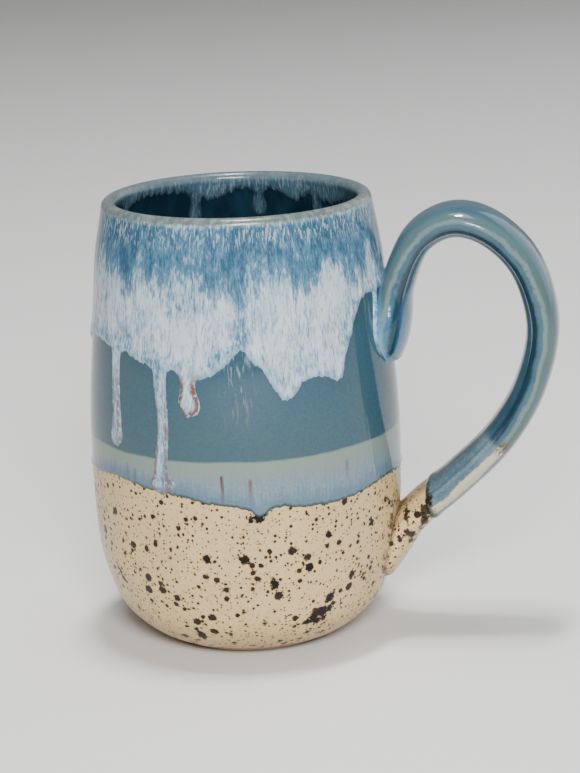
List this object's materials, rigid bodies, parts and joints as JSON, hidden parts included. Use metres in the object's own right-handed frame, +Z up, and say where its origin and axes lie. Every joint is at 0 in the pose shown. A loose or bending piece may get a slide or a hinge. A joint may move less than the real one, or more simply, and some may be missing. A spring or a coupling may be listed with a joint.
{
  "type": "ceramic mug",
  "caption": "Tall rounded stoneware mug with a flat foot, a soft lip and a large ear-shaped strap handle, dipped in glossy glazes with drips.",
  "frame": {"origin": "centre of the flat foot, on the surface the mug stands on", "axes": "+Z up along the axis of the cup, +X from the axis to the handle, -Y the front"},
  "size_m": [0.1335, 0.0882, 0.127],
  "materials": {
    "stoneware": "unglazed fired stoneware",
    "slip": "fired slip",
    "liner_glaze": "dark teal gloss glaze",
    "white_glaze": "white run glaze streaked with blue",
    "blue_glaze": "steel blue gloss glaze",
    "cream_glaze": "cream satin glaze with iron speckles"
  },
  "bodies": {
    "root": {"body": "stoneware", "handle": "stoneware", "upper_slip_joint": "slip", "lower_slip_joint": "slip", "liner_glaze": "liner_glaze", "white_glaze": "white_glaze", "blue_glaze": "blue_glaze", "base_glaze": "cream_glaze", "handle_blue_glaze": "blue_glaze", "handle_base_glaze": "cream_glaze"}
  },
  "joints": []
}
